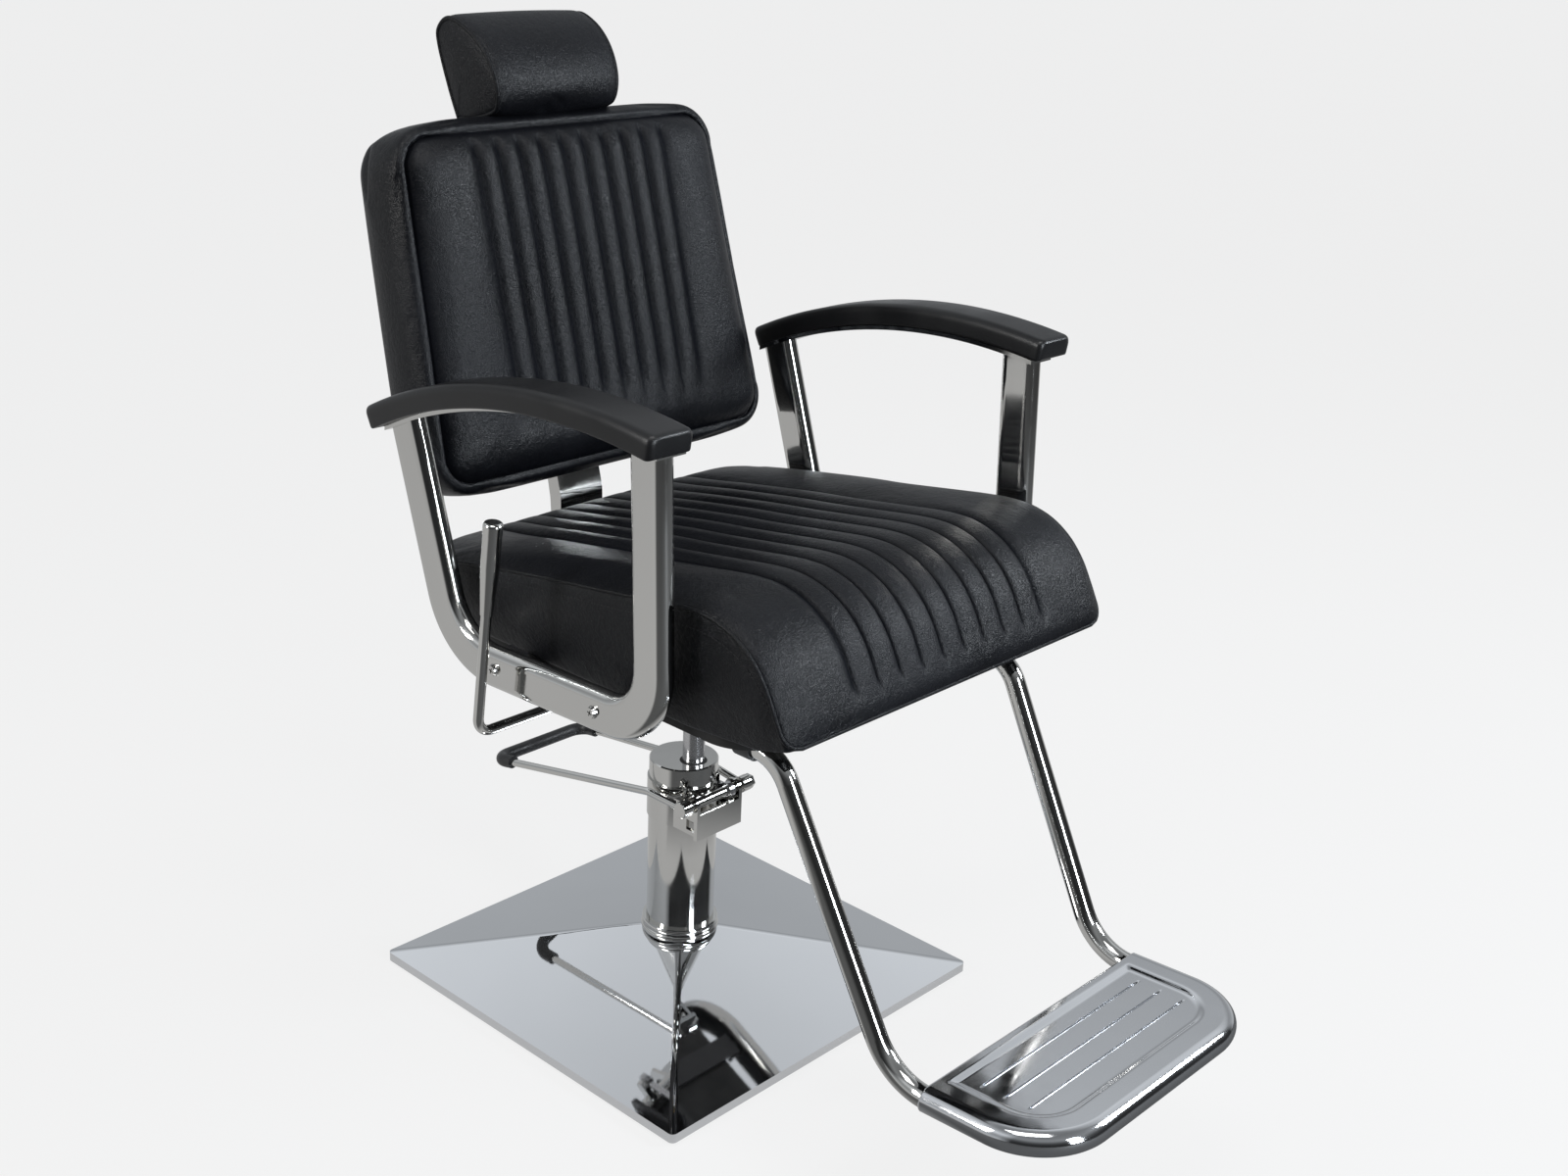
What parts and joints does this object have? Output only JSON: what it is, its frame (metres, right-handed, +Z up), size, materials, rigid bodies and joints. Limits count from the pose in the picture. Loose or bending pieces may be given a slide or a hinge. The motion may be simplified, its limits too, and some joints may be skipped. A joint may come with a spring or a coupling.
{
  "type": "hydraulic barber chair",
  "caption": "Padded swivel barber chair on a square chromed base, with foot-pumped lift, reclining ribbed back, sliding headrest, looped metal arms and a tread footrest.",
  "frame": {"origin": "centre of the square base on the floor", "axes": "+Z up, -Y towards the sitter's front, so the footrest is at -Y; +X to the sitter's left side, where the pump pedal stays at +Y behind the seat"},
  "size_m": [0.701, 1.0921, 1.1922],
  "materials": {
    "floor_rubber": "matte black rubber",
    "weight_steel": "black paint on a plain steel plate",
    "cover_chrome": "mirror chrome pressed sheet",
    "column_chrome": "mirror chrome tube and ring",
    "bright_steel": "ground steel",
    "black_steel": "black powder coat",
    "cast_black": "painted casting",
    "pedal_chrome": "mirror chrome",
    "bearing_bronze": "sintered bronze",
    "seal_rubber": "black nitrile",
    "spring_steel": "oiled spring wire",
    "arm_chrome": "mirror chrome flat-oval tube",
    "arm_soft": "soft-touch moulded pad",
    "foot_chrome": "mirror chrome tube",
    "tread_chrome": "mirror chrome pressed tread",
    "black_leather": "fine-grain black synthetic leather, satin",
    "plywood": "birch plywood",
    "moulded_black": "moulded black shell",
    "bracket_chrome": "mirror chrome flat bar",
    "lever_chrome": "mirror chrome",
    "grip_black": "black rubber sleeve"
  },
  "bodies": {
    "base": {"floor_pads": "floor_rubber", "base_weight_plate": "weight_steel", "column_flange": "bright_steel", "flange_bolts": "bright_steel", "base_cover": "cover_chrome", "column_ring": "column_chrome", "column_tube": "column_chrome", "column_cap": "column_chrome", "shaft_wiper": "seal_rubber", "lift_cylinder": "bright_steel", "shaft_gland": "bearing_bronze", "pump_barrel": "bright_steel", "pedal_bracket": "column_chrome", "plunger_spring": "spring_steel"},
    "piston": {"piston_shaft": "bright_steel", "piston_seal": "seal_rubber"},
    "seat": {"swivel_hub": "cast_black", "swivel_bush": "bearing_bronze", "thrust_washer": "bearing_bronze", "seat_frame": "black_steel", "seat_crossbars": "black_steel", "seat_board": "plywood", "seat_cushion": "black_leather", "arm_frame_left": "arm_chrome", "arm_frame_right": "arm_chrome", "arm_screws": "arm_chrome", "arm_strip_left": "arm_chrome", "arm_strip_right": "arm_chrome", "arm_pad_left": "arm_soft", "arm_pad_right": "arm_soft", "footrest_tube": "foot_chrome", "footrest_clamps": "black_steel", "clamp_bolts": "bright_steel", "footplate": "tread_chrome", "strut_cylinder": "black_steel", "recline_pin": "bright_steel"},
    "pedal": {"pedal_axle": "pedal_chrome", "pedal_hubs": "pedal_chrome", "axle_nut": "pedal_chrome", "pump_rocker": "bright_steel", "pedal_loop": "pedal_chrome", "pedal_grip": "grip_black"},
    "plunger": {"pump_plunger": "bright_steel"},
    "back": {"back_bracket": "bracket_chrome", "bracket_bolts": "bright_steel", "back_board": "plywood", "back_cushion": "black_leather", "back_cover": "moulded_black", "headrest_guide": "black_steel", "crank_pin": "bright_steel"},
    "strut_rod": {"strut_piston_rod": "bright_steel"},
    "headrest": {"headrest_bar": "bright_steel", "headrest_board": "plywood", "headrest_screws": "bright_steel", "headrest_pad": "black_leather"},
    "lever": {"release_lever": "lever_chrome", "lever_grip": "lever_chrome", "lever_cap": "lever_chrome", "lever_cam": "black_steel"},
    "valve": {"valve_pin": "bright_steel"}
  },
  "joints": [
    {"name": "lift", "type": "slide", "parent": "base", "child": "piston", "axis": [0, 0, 1], "range_m": [-0.107, 0.043]},
    {"name": "swivel", "type": "hinge", "parent": "piston", "child": "seat", "pos_m": [0, -0.017, 0.433], "axis": [0, 0, 1], "continuous": true},
    {"name": "pedal_press", "type": "hinge", "parent": "base", "child": "pedal", "pos_m": [0, -0.053, 0.272], "axis": [-1, 0, 0], "range_deg": [0, 18], "stiffness_Nm_per_rad": 30, "springref_deg": -20.05},
    {"name": "plunger_stroke", "type": "slide", "parent": "base", "child": "plunger", "axis": [0, 0, -1], "range_m": [0, 0.01], "deforming": ["plunger_spring"]},
    {"name": "recline", "type": "hinge", "parent": "seat", "child": "back", "pos_m": [0, 0.15, 0.494], "axis": [-1, 0, 0], "range_deg": [0, 40]},
    {"name": "strut_stroke", "type": "slide", "parent": "seat", "child": "strut_rod", "axis": [0, -1, 0], "range_m": [0, 0.021]},
    {"name": "headrest_height", "type": "slide", "parent": "back", "child": "headrest", "axis": [0, 0.2622, 0.965], "range_m": [0, 0.1]},
    {"name": "lever_pull", "type": "hinge", "parent": "seat", "child": "lever", "pos_m": [0, -0.021, 0.456], "axis": [-1, 0, 0], "range_deg": [0, 18], "stiffness_Nm_per_rad": 3, "springref_deg": -28.65},
    {"name": "valve_lift", "type": "slide", "parent": "seat", "child": "valve", "axis": [0, 1, 0], "range_m": [0, 0.003]}
  ],
  "couplings": [
    {"joint": "plunger_stroke", "follows": "pedal_press", "m_per_rad": 0.0305},
    {"joint": "strut_stroke", "follows": "recline", "m_per_rad": 0.0294},
    {"joint": "valve_lift", "follows": "lever_pull", "m_per_rad": 0.009}
  ]
}
